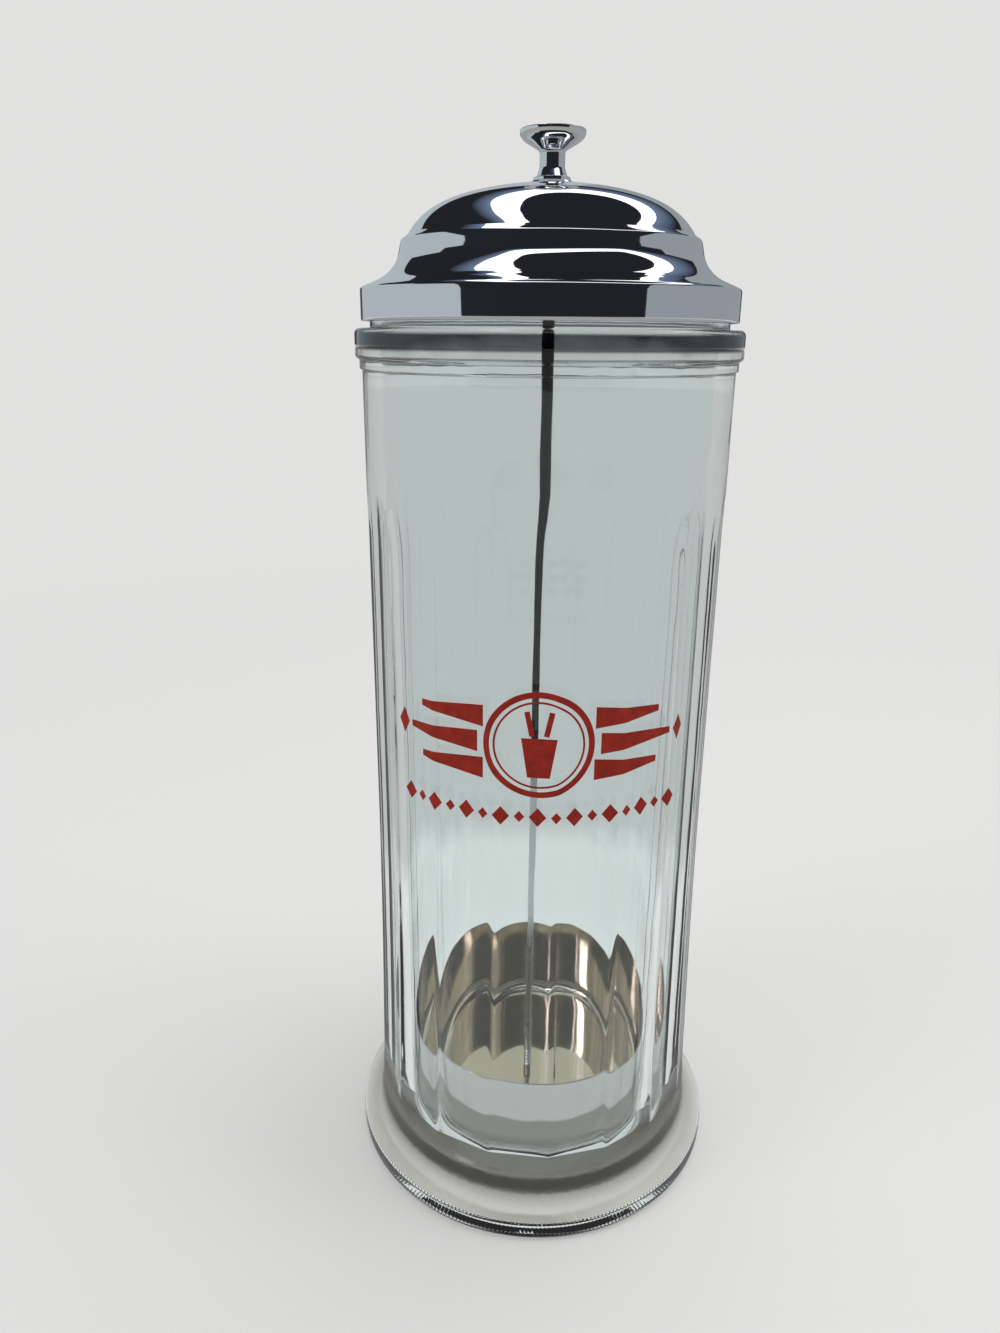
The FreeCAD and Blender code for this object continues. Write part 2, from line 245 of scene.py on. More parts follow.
# A black flag in front and a black ceiling keep the middle of the plate dark.
room_black = (0.016, 0.017, 0.022)
ceiling_rise = 5.5
studio_card(
    "front_flag",
    [(-13.3, -10.0, 0.0), (13.3, -10.0, 0.0)],
    [(-18.7, -10.0, 9.8), (18.7, -10.0, 9.8)],
    room_black,
)
studio_card(
    "ceiling",
    overhead([(-2.1, -1.5), (-2.1, 0.0), (-1.5, 0.3), (-1.5, 1.6), (-0.4, 2.1)], ceiling_rise),
    overhead([(2.1, -1.5), (2.1, 0.0), (1.5, 0.3), (1.5, 1.6), (0.4, 2.1)], ceiling_rise),
    room_black,
)

# Two grey walls bend round the sides of the room and meet at the back.
wall_away = 20.0
wall_height = 14.0
for name, from_angle, to_angle, shade in (
    ("left_wall", -2.6, 0.1, (0.43, 0.48, 0.51)),
    ("right_wall", 0.1, 2.6, (0.29, 0.32, 0.345)),
):
    angles = np.linspace(from_angle, to_angle, 21)
    low = [(wall_away * math.sin(a), wall_away * math.cos(a), 0.0) for a in angles]
    high = [(*foot[:2], wall_height) for foot in low]
    studio_card(name, low, high, shade, in_glass=False)


def smooth_loop(corners, parts=8):
    """A closed round curve through the corners."""
    count = len(corners)
    curve = []
    for i in range(count):
        before, here, there, after = (np.array(corners[(i + k) % count]) for k in (-1, 0, 1, 2))
        for k in range(parts):
            t = k / parts
            curve.append(0.5 * (
                2 * here + (there - before) * t
                + (2 * before - 5 * here + 4 * there - after) * t ** 2
                + (3 * here - before - 3 * there + after) * t ** 3
            ))
    return curve + curve[:1]


# The soft boxes make a bent frame, with a bluish glow that fades out round it.
box_rise = 5.0
glow_rise = 5.1
box_outside = smooth_loop([
    (-0.42, -0.72), (-0.46, -0.10), (-0.39, 0.35), (-0.26, 0.80), (-0.02, 1.22), (0.30, 1.30),
    (0.66, 1.05), (0.94, 0.62), (1.08, 0.20), (1.12, -0.25), (0.98, -0.72), (0.30, -0.90),
])
box_inside = smooth_loop([
    (-0.20, -0.44), (-0.24, -0.05), (-0.17, 0.30), (-0.08, 0.62), (0.06, 0.88), (0.29, 0.90),
    (0.54, 0.68), (0.74, 0.42), (0.86, 0.12), (0.90, -0.22), (0.82, -0.50), (0.30, -0.62),
])
studio_card(
    "light_box",
    overhead(box_outside, box_rise),
    overhead(box_inside, box_rise),
    white[:3],
    strength=1.6,
)
glow_outside = smooth_loop([
    (-0.54, -0.80), (-0.62, -0.10), (-0.54, 0.45), (-0.40, 0.95), (-0.10, 1.60), (0.50, 1.90),
    (1.10, 1.60), (1.42, 0.95), (1.40, 0.25), (1.30, -0.35), (1.05, -0.80), (0.30, -0.96),
])
studio_card(
    "light_glow",
    overhead(box_outside, glow_rise),
    overhead(glow_outside, glow_rise),
    (0.16, 0.21, 0.32),
    fade_to=room_black,
)

# A warm part of the ceiling, towards the back, shows only through the glass.
back_rise = 4.8
studio_card(
    "back_ceiling",
    overhead([(-2.2, 0.72), (2.2, 0.72)], back_rise),
    overhead([(-2.2, 2.6), (2.2, 2.6)], back_rise),
    (0.78, 0.75, 0.64),
    in_mirrors=False,
)

# Cards that show only through the glass and put the streaks in the steel cup: the compass
# angles off the front between which each stands, and its shade.
cup_card_rise = 4.6
cup_card_lifts = (27, 50)
for k, (from_angle, to_angle, shade) in enumerate((
    (-115, -62, (0.66, 0.59, 0.46)),
    (-62, -50, (0.34, 0.31, 0.25)),
    (-50, -4, (0.03, 0.028, 0.024)),
    (-4, 10, (0.12, 0.10, 0.08)),
    (10, 46, (0.03, 0.027, 0.022)),
    (46, 62, (6.60, 5.40, 5.60)),
    (62, 76, (0.40, 0.34, 0.27)),
    (76, 120, (0.60, 0.54, 0.44)),
)):
    angles = np.radians(np.linspace(from_angle, to_angle, 7))
    edges = []
    for lift in cup_card_lifts:
        reach = 1 / math.tan(math.radians(lift))
        slopes = [(-reach * math.sin(a), -reach * math.cos(a)) for a in angles]
        edges.append(overhead(slopes, cup_card_rise))
    studio_card(f"cup_card_{k}", edges[0], edges[1], shade, in_mirrors=False)

# Two low dark corners stand just in front of the back wall.
corner_away = 19.5
corner_height = 2.5
for name, from_angle, to_angle in (("left_corner", -0.44, -0.22), ("right_corner", 0.22, 0.44)):
    angles = np.linspace(from_angle, to_angle, 5)
    low = [(corner_away * math.sin(a), corner_away * math.cos(a), 0.0) for a in angles]
    high = [(*foot[:2], corner_height) for foot in low]
    studio_card(name, low, high, (0.07, 0.08, 0.085), in_glass=False)


# ---- Glass jar ---------------------------------------------------------------------------
# A jar of thick glass with a faint grey-green cast, pressed in one mould together with its
# round foot, eighteen flat panels and the ring that the lid stops above.

foot_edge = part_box("glass_jar")[1].x
lip_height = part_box("glass_jar")[1].z
body_radius = 45.8 * mm
bore_radius = 41.0 * mm
neck_radius = 43.6 * mm
hollow_radius = 38.6 * mm
hollow_depth = 3.4 * mm
bearing_radius = 45.6 * mm
foot_edge_top = 5.8 * mm
slope_radius = 47.3 * mm
slope_top = 9.4 * mm
base_top = 8.9 * mm
taper_radius = 47.034 * mm
taper_top = 85.0 * mm
collar_radius = 46.4 * mm
collar_bottom = 226.4 * mm
ring_radius = 47.4 * mm
ring_bottom = 228.6 * mm
ring_top = 235.8 * mm
fine_edge = 0.4 * mm
round_edge = 1.4 * mm
lip_edge = 1.1 * mm
panel_bottom = 22.8 * mm
panel_top = 190.4 * mm
panel_count = 18
ridge_width = 0.8 * mm
panel_runout = 9.0 * mm
wall_bottom = 9.0 * mm
knurl_inside = 45.0 * mm
knurl_depth = 0.3 * mm
hair = 0.01 * mm
spin_steps = 540


def rounded(corners, longest=1.0):
    """Outline through (radius, height, rounding) corners, long runs cut into equal parts."""
    places = [np.array(corner[:2]) for corner in corners]
    points = [places[0]]
    for i in range(1, len(corners)):
        here = places[i]
        if i == len(corners) - 1 or corners[i][2] == 0:
            new_points = [here]
        else:
            back = places[i - 1] - here
            ahead = places[i + 1] - here
            back_length = np.linalg.norm(back)
            ahead_length = np.linalg.norm(ahead)
            back = back / back_length
            ahead = ahead / ahead_length
            half = math.acos(max(-1.0, min(1.0, float(back @ ahead)))) / 2
            setback = min(corners[i][2] / math.tan(half), 0.48 * back_length, 0.48 * ahead_length)
            radius = setback * math.tan(half)
            middle = (back + ahead) / np.linalg.norm(back + ahead)
            centre = here + middle * (radius / math.sin(half))
            first = here + back * setback - centre
            last = here + ahead * setback - centre
            turn_angle = math.pi - 2 * half
            steps = max(4, math.ceil(turn_angle / math.radians(15)))
            new_points = []
            for k in range(steps + 1):
                first_share = math.sin((1 - k / steps) * turn_angle) / math.sin(turn_angle)
                last_share = math.sin(k / steps * turn_angle) / math.sin(turn_angle)
                new_points.append(centre + first * first_share + last * last_share)
        run = np.linalg.norm(new_points[0] - points[-1])
        parts = max(1, math.ceil(run / longest))
        start = points[-1]
        for k in range(1, parts):
            points.append(start + (new_points[0] - start) * k / parts)
        points.extend(new_points)
    return points


def turned(name, outline, steps):
    """A closed piece: its half outline, drawn point by point in edit mode, spun about Z."""
    bpy.ops.object.select_all(action="DESELECT")
    bpy.ops.mesh.primitive_plane_add(size=mm)
    piece = bpy.context.object
    piece.name = name
    bpy.ops.object.mode_set(mode="EDIT")
    bpy.ops.mesh.merge(type="CENTER")
    here = np.zeros(2)
    for i, point in enumerate(outline):
        step = point - here
        move = (float(step[0]), 0.0, float(step[1]))
        if i == 0:
            bpy.ops.transform.translate(value=move)
        else:
            bpy.ops.mesh.extrude_region_move(TRANSFORM_OT_translate={"value": move})
        here = point
    bpy.ops.mesh.select_all(action="SELECT")
    bpy.ops.mesh.spin(steps=steps, angle=math.tau, center=(0, 0, 0), axis=(0, 0, 1))
    bpy.ops.mesh.select_all(action="SELECT")
    bpy.ops.mesh.remove_doubles(threshold=0.001 * mm)
    bpy.ops.mesh.normals_make_consistent(inside=False)
    bpy.ops.object.mode_set(mode="OBJECT")
    return piece


jar_outline = rounded([
    (0, hollow_depth, 0),
    (hollow_radius, hollow_depth, 6.0 * mm),
    (bearing_radius, 0, fine_edge),
    (foot_edge, 0, 2.2 * mm),
    (foot_edge, foot_edge_top, 0.9 * mm),
    (slope_radius, slope_top, 10.0 * mm),
    (taper_radius, panel_bottom, 0),
    (body_radius, taper_top, 3.0),
    (body_radius, collar_bottom, fine_edge),
    (collar_radius, collar_bottom, fine_edge),
    (collar_radius, ring_bottom, fine_edge),
    (ring_radius, ring_bottom + 0.6 * mm, round_edge),
    (ring_radius, ring_top, round_edge),
    (neck_radius, ring_top, fine_edge),
    (neck_radius, lip_height, lip_edge),
    (bore_radius, lip_height, lip_edge),
    (bore_radius, base_top, 7.0 * mm),
    (0, base_top, 0),
], longest=5 * mm)
jar = turned("glass_jar_body", jar_outline, spin_steps)

# The mould's flat panels, each fading out into the round wall with a cutter's radius.
co = np.zeros(len(jar.data.vertices) * 3)
jar.data.vertices.foreach_get("co", co)
co = co.reshape(-1, 3)
out = np.hypot(co[:, 0], co[:, 1])
angle = np.arctan2(co[:, 1], co[:, 0])
pitch = math.tau / panel_count
from_middle = (angle + pitch / 2) % pitch - pitch / 2
half_panel = pitch / 2 - ridge_width / 2 / body_radius
beyond = np.maximum(panel_bottom - co[:, 2], co[:, 2] - panel_top).clip(0, panel_runout)
face = out * math.cos(half_panel) + panel_runout - np.sqrt(panel_runout ** 2 - beyond ** 2)
face = np.minimum(out, face / np.cos(from_middle))
on_wall = (out > neck_radius) & (co[:, 2] > wall_bottom) & (co[:, 2] < collar_bottom)
shrink = np.where(on_wall, face / np.maximum(out, mm), 1.0)
co[:, 0] *= shrink
co[:, 1] *= shrink
# Two steps of the spin make one tooth of the knurling on the ring that the jar stands on.
around = np.rint(angle / math.tau * spin_steps).astype(int)
under = (co[:, 2] < hair) & (out > knurl_inside)
co[:, 2] += np.where(under & (around % 2 == 0), knurl_depth, 0.0)
jar.data.vertices.foreach_set("co", co.ravel())
jar.data.update()
bpy.ops.object.shade_smooth_by_angle(angle=math.radians(40))


def effect(name, settings, result, result_kind):
    """An empty node group that takes a Place and its settings and puts out one result."""
    group = bpy.data.node_groups.new(name, "ShaderNodeTree")
    group.interface.new_socket("Place", in_out="INPUT", socket_type="NodeSocketVector")
    for setting in settings:
        group.interface.new_socket(setting, in_out="INPUT", socket_type="NodeSocketFloat")
    group.interface.new_socket(result, in_out="OUTPUT", socket_type=result_kind)
    return group, group.nodes.new("NodeGroupInput"), group.nodes.new("NodeGroupOutput")


# The mould left faint upright waves in all of the glass.
mould_waves, given, wanted = effect("mould_waves", ["Depth"], "Normal", "NodeSocketVector")
stretch = mould_waves.nodes.new("ShaderNodeMapping")
stretch.inputs["Scale"].default_value = (1.0, 1.0, 0.4)
wrinkle = mould_waves.nodes.new("ShaderNodeTexNoise")
wrinkle.inputs["Scale"].default_value = 70.0
wrinkle.inputs["Detail"].default_value = 2.0
bump = mould_waves.nodes.new("ShaderNodeBump")
bump.inputs["Strength"].default_value = 1.0
mould_waves.links.new(given.outputs["Place"], stretch.inputs["Vector"])
mould_waves.links.new(given.outputs["Depth"], bump.inputs["Distance"])
mould_waves.links.new(stretch.outputs["Vector"], wrinkle.inputs["Vector"])
mould_waves.links.new(wrinkle.outputs["Fac"], bump.inputs["Height"])
mould_waves.links.new(bump.outputs["Normal"], wanted.inputs["Normal"])

# The wall is clear, and the foot and the ring are the same glass with tones of their own, partly
# painted shade.
glass = bpy.data.materials.new("pressed_glass")
glass.use_nodes = True
nodes = glass.node_tree.nodes
links = glass.node_tree.links
clear = nodes["Principled BSDF"]
clear.inputs["Base Color"].default_value = (0.86, 0.915, 0.91, 1.0)
clear.inputs["Roughness"].default_value = 0.0
clear.inputs["IOR"].default_value = 1.52
clear.inputs["Transmission Weight"].default_value = 1.0
where = nodes.new("ShaderNodeTexCoord")
wavy = nodes.new("ShaderNodeGroup")
wavy.name = "mould_waves"
wavy.node_tree = mould_waves
wavy.inputs["Depth"].default_value = 0.15 * mm
links.new(where.outputs["Object"], wavy.inputs["Place"])
links.new(wavy.outputs["Normal"], clear.inputs["Normal"])
jar.data.materials.append(glass)


def height_in(tree):
    """Height above the table, from the Object coordinates that the material already has."""
    parts = tree.nodes.new("ShaderNodeSeparateXYZ")
    tree.links.new(tree.nodes["Texture Coordinate"].outputs["Object"], parts.inputs[0])
    return parts.outputs["Z"]


# The foot came from the mould with a fine stipple that makes it milky. Up its slope its colour is
# painted dark, a painted shade for the dark that shows through the thick base, but not in light
# that has come through the wall.
stipple_bottom = 6.1 * mm
painted_shade_from = foot_edge_top
painted_shade_full_at = 12.8 * mm
milky_tint = (0.58, 0.58, 0.52)
# Painted shade: the dark colour that the slope of the foot takes.
painted_shade_tint = (0.14, 0.14, 0.12)
stippled = glass.copy()
stippled.name = "stippled_glass"
tree = stippled.node_tree
nodes = tree.nodes
links = tree.links
milky = nodes["Principled BSDF"]
milky.inputs["Roughness"].default_value = 0.32
painted_shade_up_slope = ranged(tree, height_in(tree), painted_shade_from, painted_shade_full_at)
through_wall = nodes.new("ShaderNodeLightPath").outputs["Is Transmission Ray"]
painted_shade_share = combined(tree, "SUBTRACT", painted_shade_up_slope, through_wall, clamp=True)
links.new(mixed(tree, painted_shade_share, milky_tint, painted_shade_tint), milky.inputs["Base Color"])
milky.inputs["Transmission Weight"].default_value = 0.55
grain = nodes.new("ShaderNodeTexVoronoi")
grain.inputs["Scale"].default_value = 700.0
grain_bump = nodes.new("ShaderNodeBump")
grain_bump.inputs["Strength"].default_value = 0.5
grain_bump.inputs["Distance"].default_value = 0.2 * mm
links.new(nodes["Texture Coordinate"].outputs["Object"], grain.inputs["Vector"])
links.new(grain.outputs["Distance"], grain_bump.inputs["Height"])
links.new(nodes["mould_waves"].outputs["Normal"], grain_bump.inputs["Normal"])
links.new(grain_bump.outputs["Normal"], milky.inputs["Normal"])
jar.data.materials.append(stippled)

# A painted dark band round the middle of the ring, a painted shade, makes it look darker than the
# wall.
painted_band_height = 233.0 * mm
painted_band_half = 1.5 * mm
clear_half = 2.3 * mm
ring_tint = (0.78, 0.82, 0.80)
# Painted shade: the near black colour of the band.
painted_dark_band_tint = (0.028, 0.034, 0.037)
ring_painted_band_glass = glass.copy()
ring_painted_band_glass.name = "ring_glass"
tree = ring_painted_band_glass.node_tree
over_band = tree.nodes.new("ShaderNodeMath")
over_band.operation = "SUBTRACT"
over_band.inputs[1].default_value = painted_band_height
tree.links.new(height_in(tree), over_band.inputs[0])
off_band = tree.nodes.new("ShaderNodeMath")
off_band.operation = "ABSOLUTE"
tree.links.new(over_band.outputs[0], off_band.inputs[0])
in_painted_band = ranged(tree, off_band.outputs[0], clear_half, painted_band_half)
ring_colour = mixed(tree, in_painted_band, ring_tint, painted_dark_band_tint)
tree.links.new(ring_colour, tree.nodes["Principled BSDF"].inputs["Base Color"])
jar.data.materials.append(ring_painted_band_glass)

for polygon in jar.data.polygons:
    middle = polygon.center
    out_there = math.hypot(middle.x, middle.y)
    if out_there > neck_radius and stipple_bottom < middle.z < panel_bottom:
        polygon.material_index = 1
    elif out_there > body_radius and ring_bottom < middle.z < ring_top:
        polygon.material_index = 2
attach(jar, "jar")
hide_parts("glass_jar")


# ---- Print on the jar --------------------------------------------------------------------
# Red enamel, screened on and fired: a tumbler with two straws in a ring, tapering bars beside it
# and a row of lozenges under it. Each shape is drawn flat, then laid round the panels.

print_middle = math.radians(-90 - 6)
print_height = 144.0 * mm
print_lift = 0.06 * mm
enamel_thickness = 0.05 * mm
longest_piece = 0.6 * mm
shapes = []


def printed(shape, across=0.0, up=0.0, tilt=0.0):
    """Moves a flat shape to its place in the print and keeps it for the joining."""
    turned_shape = Matrix.Translation((across, up, 0)) @ Matrix.Rotation(tilt, 4, "Z")
    shape.data.transform(turned_shape)
    shapes.append(shape)


def bar(length, width, end_width, across, up, tilt=0.0):
    """A straight bar from its middle, its width running evenly to the end's width."""
    steps = max(4, int(length / longest_piece))
    bpy.ops.mesh.primitive_grid_add(x_subdivisions=steps, y_subdivisions=3)
    shape = bpy.context.object
    for vertex in shape.data.vertices:
        share = (vertex.co.x + 1) / 2
        vertex.co.x = vertex.co.x * length / 2
        vertex.co.y = vertex.co.y / 2 * (width + (end_width - width) * share)
    printed(shape, across, up, tilt)


def ring(outer, inner):
    """A round hoop cut into short pieces, so that it can follow the panels."""
    bpy.ops.mesh.primitive_grid_add(x_subdivisions=144, y_subdivisions=3)
    shape = bpy.context.object
    for vertex in shape.data.vertices:
        turn = (vertex.co.x + 1) * math.pi
        out = inner + (outer - inner) * (vertex.co.y + 1) / 2
        vertex.co = (out * math.cos(turn), out * math.sin(turn), 0)
    printed(shape)


def lozenge(half_width, half_height, across, up):
    """A four-cornered lozenge."""
    bpy.ops.mesh.primitive_grid_add(x_subdivisions=4, y_subdivisions=4)
    shape = bpy.context.object
    for vertex in shape.data.vertices:
        x, y = vertex.co.x, vertex.co.y
        vertex.co = ((x - y) / 2 * half_width, (x + y) / 2 * half_height, 0)
    printed(shape, across, up)


outer_hoop = (13.4 * mm, 11.9 * mm)
inner_hoop = (11.0 * mm, 10.5 * mm)
ring(*outer_hoop)
ring(*inner_hoop)

# The tumbler narrows to its foot, and each of its two straws leans out to one side.
tumbler_height = 10.0 * mm
tumbler_foot = 5.4 * mm
tumbler_mouth = 8.6 * mm
tumbler_middle = -3.2 * mm
straw_length = 6.2 * mm
straw_width = 1.3 * mm
straw_across = 2.35 * mm
straw_up = 5.4 * mm
straw_slant = math.radians(12)
upright = math.pi / 2
bar(tumbler_height, tumbler_foot, tumbler_mouth, 0, tumbler_middle, upright)
for side in (1, -1):
    slant = straw_slant * side
    bar(straw_length, straw_width, straw_width, side * straw_across, straw_up, upright - slant)

# Three bars a side, each a row and a length in millimetres, start on one circle round the hoops.
bar_rows = ((6.6, 17.5), (0.0, 20.0), (-6.6, 17.5))
bars_start = 15.0
bar_width = 5.4 * mm
bar_tip = 1.6 * mm
end_lozenge = (1.9 * mm, 3.4 * mm)
end_lozenge_across = 38.0 * mm
for side in (1, -1):
    lean = 0 if side > 0 else math.pi
    for row, length in bar_rows:
        start = math.sqrt(bars_start ** 2 - row ** 2)
        bar(length * mm, bar_width, bar_tip, side * (start + length / 2) * mm, row * mm, lean)
    lozenge(*end_lozenge, side * end_lozenge_across, 0)

# Large and small lozenges take turns in the row under the hoops.
lozenge_row = -18.6 * mm
lozenge_pitch = 4.5
lozenge_shape = 0.85
large_lozenge = 2.5
small_lozenge = 1.5
for k in range(-8, 9):
    size = small_lozenge if k % 2 else large_lozenge
    lozenge(size * lozenge_shape * mm, size * mm, k * lozenge_pitch * mm, lozenge_row)

bpy.ops.object.select_all(action="DESELECT")
for shape in shapes:
    shape.select_set(True)
bpy.context.view_layer.objects.active = shapes[0]
bpy.ops.object.join()
label = bpy.context.object
label.name = "red_print"
bpy.ops.object.mode_set(mode="EDIT")
bpy.ops.mesh.select_all(action="SELECT")
bpy.ops.mesh.remove_doubles(threshold=0.01 * mm)
bpy.ops.object.mode_set(mode="OBJECT")
solid = label.modifiers.new("enamel", "SOLIDIFY")
solid.thickness = enamel_thickness
solid.offset = 1.0
bpy.ops.object.modifier_apply(modifier=solid.name)
for vertex in label.data.vertices:
    across, up, thick = vertex.co
    angle = print_middle + across / body_radius
    off_middle = (angle + pitch / 2) % pitch - pitch / 2
    on_panel = body_radius * math.cos(half_panel) / math.cos(off_middle)
    out = min(on_panel, body_radius) + print_lift + thick
    vertex.co = (out * math.cos(angle), out * math.sin(angle), print_height + up)
bpy.ops.object.mode_set(mode="EDIT")
bpy.ops.mesh.select_all(action="SELECT")
bpy.ops.mesh.normals_make_consistent(inside=False)
bpy.ops.object.mode_set(mode="OBJECT")


def ramped(tree, value, start, first, end, last):
    """A colour that runs from the first to the last while the value runs from start to end."""
    node = tree.nodes.new("ShaderNodeValToRGB")
    low, high = node.color_ramp.elements
    low.position = start
    low.color = (*first, 1.0)
    high.position = end
    high.color = (*last, 1.0)
    tree.links.new(value, node.inputs["Fac"])
    return node.outputs["Color"]


deep_red = (0.21, 0.011, 0.004)
bright_red = (0.31, 0.018, 0.008)
enamel = bpy.data.materials.new("red_enamel")
enamel.use_nodes = True
tree = enamel.node_tree
coat = tree.nodes["Principled BSDF"]
place = tree.nodes.new("ShaderNodeTexCoord")
mottle = tree.nodes.new("ShaderNodeTexNoise")
mottle.inputs["Scale"].default_value = 400.0
tree.links.new(place.outputs["Object"], mottle.inputs["Vector"])
red = ramped(tree, mottle.outputs["Fac"], 0.3, deep_red, 0.7, bright_red)
tree.links.new(red, coat.inputs["Base Color"])
coat.inputs["Roughness"].default_value = 0.45
coat.inputs["Specular IOR Level"].default_value = 0.2
label.data.materials.append(enamel)
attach(label, "jar")


# ---- Lid shell ---------------------------------------------------------------------------
# A bright chrome-plated shell. Its skirt hangs round the neck of the jar, a land inside it
# stops just over the lip, and a coved tier carries the dome with a flat seat for the knob.

lid_low, lid_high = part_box("lid_dome")
skirt_bottom = lid_low.z
skirt_radius = lid_high.x
dome_top = lid_high.z
lid_wall = 1.5 * mm
seat = 243.7 * mm
land_radius = 40.0 * mm
cove_foot = (skirt_radius - 3.5 * mm, seat + 2.5 * mm)
cove_top = (36.4 * mm, 252.3 * mm)
tier_top = (35.74 * mm, 255.4 * mm)
dome_foot = (34.14 * mm, 256.45 * mm)
dome_edge = (5.6 * mm, dome_top - 0.45 * mm)
knob_seat_radius = 5.0 * mm
cove_lean, cove_pull = 68, 0.38
inner_cove_lean = 57
tier_lean, tier_pull = 12, 0.31
step_lean = 57
dome_lean, dome_pull = 30, 0.315
top_lean, top_pull = 81.8, 0.42
inner_top_lean = 82


def flowing(start, start_lean, start_pull, end, end_lean, end_pull, steps):
    """Curve inwards and upwards; leans in degrees off upright, pulls as shares of the chord."""
    first, last = np.array(start), np.array(end)
    chord = np.linalg.norm(last - first)
    leaving, arriving = math.radians(start_lean), math.radians(end_lean)
    leave = first + np.array([-math.sin(leaving), math.cos(leaving)]) * start_pull * chord
    arrive = last - np.array([-math.sin(arriving), math.cos(arriving)]) * end_pull * chord
    points = []
    for k in range(1, steps + 1):
        done = k / steps
        left = 1 - done
        points.append(
            left ** 3 * first + 3 * done * left * left * leave
            + 3 * done * done * left * arrive + done ** 3 * last
        )
    return points


def inner_side(point, lean, next_lean):
    """Place on the inner side of the shell, mitred where the outer side changes its lean."""
    middle = math.radians((lean + next_lean) / 2)
    mitre = lid_wall / math.cos(math.radians(lean - next_lean) / 2)
    return (point[0] - math.cos(middle) * mitre, point[1] - math.sin(middle) * mitre)


inner_cove_foot = (land_radius, seat + 2.0 * mm)
inner_cove_top = inner_side(cove_top, tier_lean, tier_lean)
inner_tier_top = inner_side(tier_top, tier_lean, step_lean)
inner_dome_foot = inner_side(dome_foot, step_lean, dome_lean)
inner_dome_edge = inner_side(dome_edge, inner_top_lean, inner_top_lean)
outside = rounded([
    (skirt_radius - lid_wall, skirt_bottom, 0),
    (skirt_radius, skirt_bottom, 0.3 * mm),
    (skirt_radius, seat + 1.05 * mm, 0.9 * mm),
    (*cove_foot, 0),
], longest=0.7 * mm)
outside += flowing(cove_foot, cove_lean, cove_pull, cove_top, tier_lean, tier_pull, 48)
outside += rounded([(*cove_top, 0), (*tier_top, 0.8 * mm), (*dome_foot, 0)], longest=1 * mm)[1:]
outside += flowing(dome_foot, dome_lean, dome_pull, dome_edge, top_lean, top_pull, 60)
outside += rounded([(*dome_edge, 0), (knob_seat_radius, dome_top, 0.15 * mm), (0, dome_top, 0)])[1:]
inside = rounded([
    (skirt_radius - lid_wall, skirt_bottom, 0),
    (skirt_radius - lid_wall, seat, 0.4 * mm),
    (land_radius, seat, 0.4 * mm),
    (*inner_cove_foot, 0),
], longest=2 * mm)
inside += flowing(
    inner_cove_foot, inner_cove_lean, cove_pull, inner_cove_top, tier_lean, tier_pull, 12
)
inside += [np.array(inner_tier_top), np.array(inner_dome_foot)]
inside += flowing(
    inner_dome_foot, dome_lean, dome_pull, inner_dome_edge, top_lean, top_pull, 20
)
inside += [np.array((0.0, inner_dome_edge[1]))]
shell_steps = 440
dome = turned("lid_shell", outside + inside[::-1][:-1], shell_steps)
bpy.ops.object.shade_smooth_by_angle(angle=math.radians(22))

# The faint smudges of handling, which all the metal has, only change its gloss.
smudges, given, wanted = effect("smudges", ["Clean", "Handled"], "Roughness", "NodeSocketFloat")
smudge = smudges.nodes.new("ShaderNodeTexNoise")
smudge.inputs["Scale"].default_value = 90.0
spread = smudges.nodes.new("ShaderNodeMapRange")
smudges.links.new(given.outputs["Place"], smudge.inputs["Vector"])
smudges.links.new(smudge.outputs["Fac"], spread.inputs["Value"])
smudges.links.new(given.outputs["Clean"], spread.inputs["To Min"])
smudges.links.new(given.outputs["Handled"], spread.inputs["To Max"])
smudges.links.new(spread.outputs["Result"], wanted.inputs["Roughness"])


def mirror_metal(name, shade, roughness):
    """Bright metal of that shade; its smudges are two and a half times as rough."""
    plate = bpy.data.materials.new(name)
    plate.use_nodes = True
    tree = plate.node_tree
    metal = tree.nodes["Principled BSDF"]
    metal.inputs["Base Color"].default_value = (*shade, 1.0)
    metal.inputs["Metallic"].default_value = 1.0
    place = tree.nodes.new("ShaderNodeTexCoord")
    smudged = tree.nodes.new("ShaderNodeGroup")
    smudged.node_tree = smudges
    smudged.inputs["Clean"].default_value = roughness
    smudged.inputs["Handled"].default_value = roughness * 2.5
    tree.links.new(place.outputs["Object"], smudged.inputs["Place"])
    tree.links.new(smudged.outputs["Roughness"], metal.inputs["Roughness"])
    return plate


chrome = mirror_metal("chrome_plate", (0.90, 0.91, 0.93), 0.02)
dome.data.materials.append(chrome)
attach(dome, "lid")
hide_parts("lid_dome")


# ---- Knob --------------------------------------------------------------------------------
# A small bowl on a stem, turned from steel and plated. It screws down onto the upper thread
# of the rod and clamps the dome between itself and the nut inside.

knob_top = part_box("lid_knob")[1].z
knob_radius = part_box("lid_knob")[1].x
knob_foot_radius = 4.4 * mm
knob_foot_top = dome_top + 0.9 * mm
stem_radius = 3.0 * mm
bowl_foot = (4.6 * mm, dome_top + 7.35 * mm)
rim_low = (knob_radius, dome_top + 10.5 * mm)
rim_top = dome_top + 10.9 * mm
bowl_lean, bowl_pull = -59, 0.4
knob_edge = 0.15 * mm
knob_steps = 128
knob_outline = rounded([
    (0, dome_top, 0),
    (knob_foot_radius, dome_top, knob_edge),
    (knob_foot_radius, knob_foot_top, knob_edge),
    (3.7 * mm, knob_foot_top, 0),
    (stem_radius, dome_top + 2.9 * mm, 2.0 * mm),
    (stem_radius, dome_top + 6.4 * mm, 0.9 * mm),
    (*bowl_foot, 0),
], longest=0.3 * mm)
knob_outline += flowing(bowl_foot, bowl_lean, bowl_pull, rim_low, 0, bowl_pull, 20)
